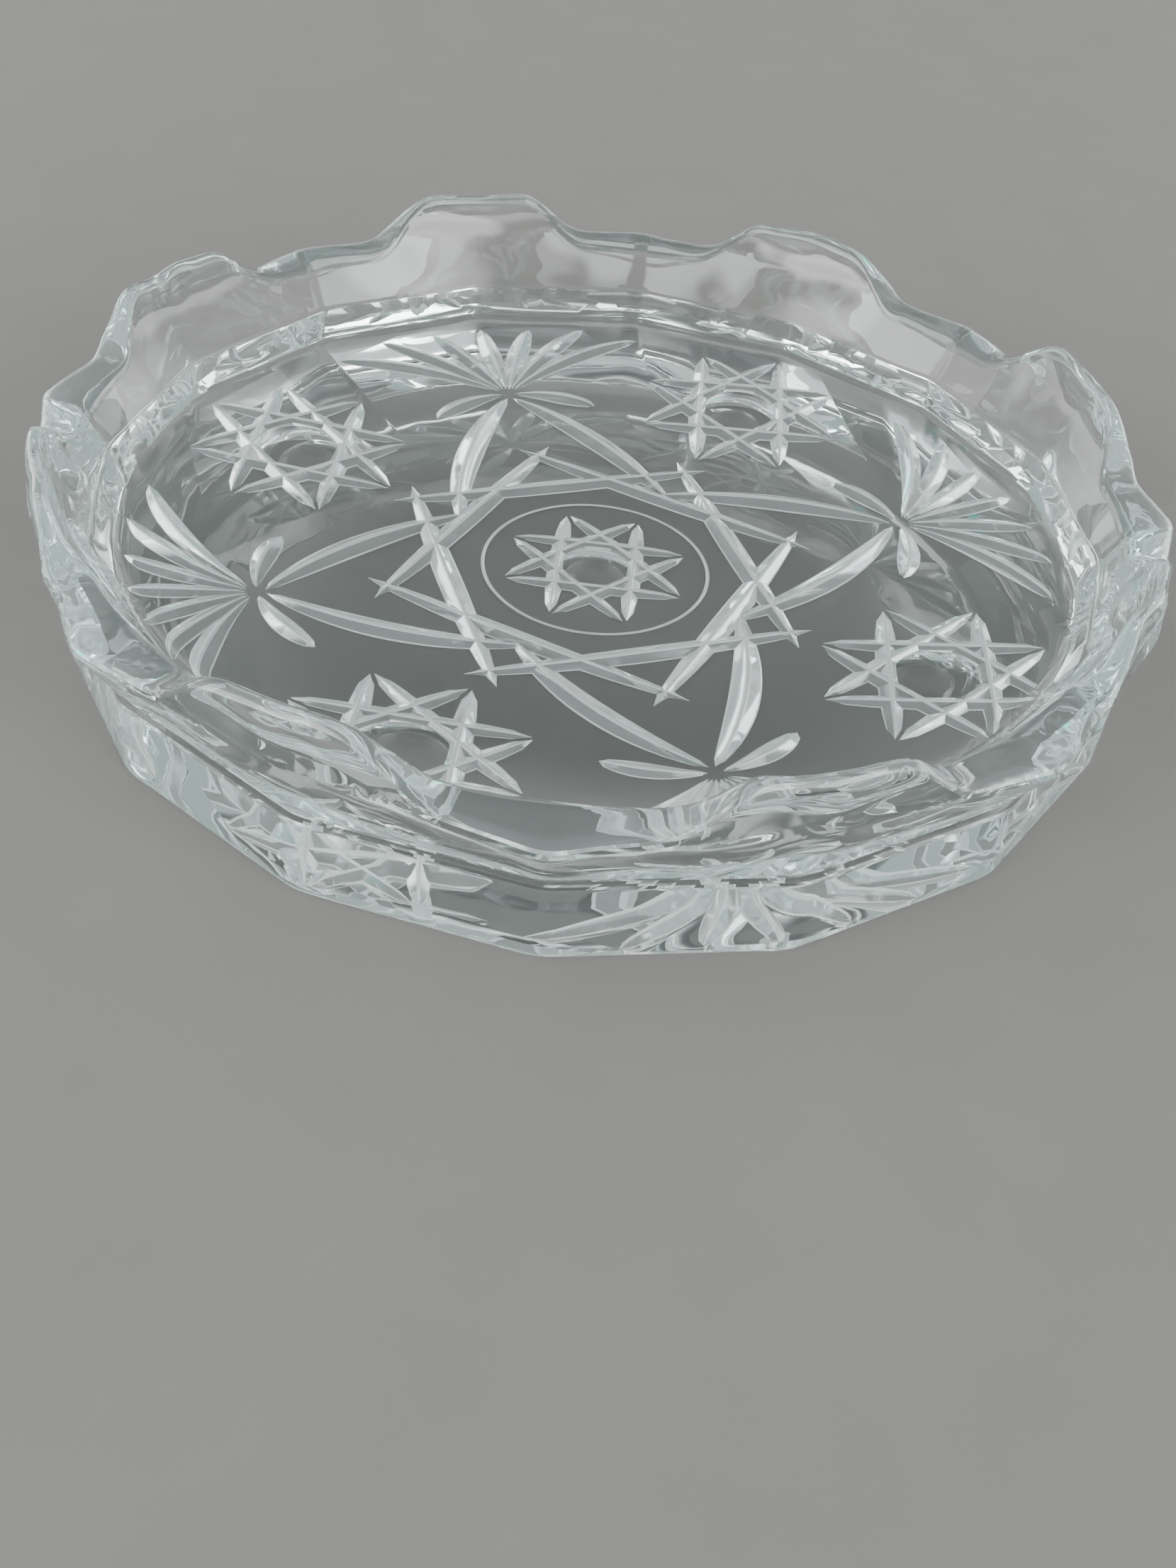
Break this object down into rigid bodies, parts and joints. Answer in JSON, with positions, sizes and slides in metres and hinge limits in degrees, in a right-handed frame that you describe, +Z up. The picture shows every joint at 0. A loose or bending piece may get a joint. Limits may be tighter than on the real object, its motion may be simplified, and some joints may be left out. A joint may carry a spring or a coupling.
{
  "type": "shallow pressed glass dish",
  "caption": "Shallow round dish of clear pressed glass with a scalloped rim, a faceted foot and a cut star and fan pattern under the floor.",
  "frame": {"origin": "centre of the flat underside, on the surface that the dish stands on", "axes": "+Z up through the mouth; +X and +Y each point at the middle of a high lobe and of a fan in the pattern"},
  "size_m": [0.1452, 0.1452, 0.0265],
  "materials": {
    "clear_glass": "fire-polished clear pressed glass with a faint aqua tint in thick sections"
  },
  "bodies": {
    "root": {"dish": "clear_glass"}
  },
  "joints": []
}
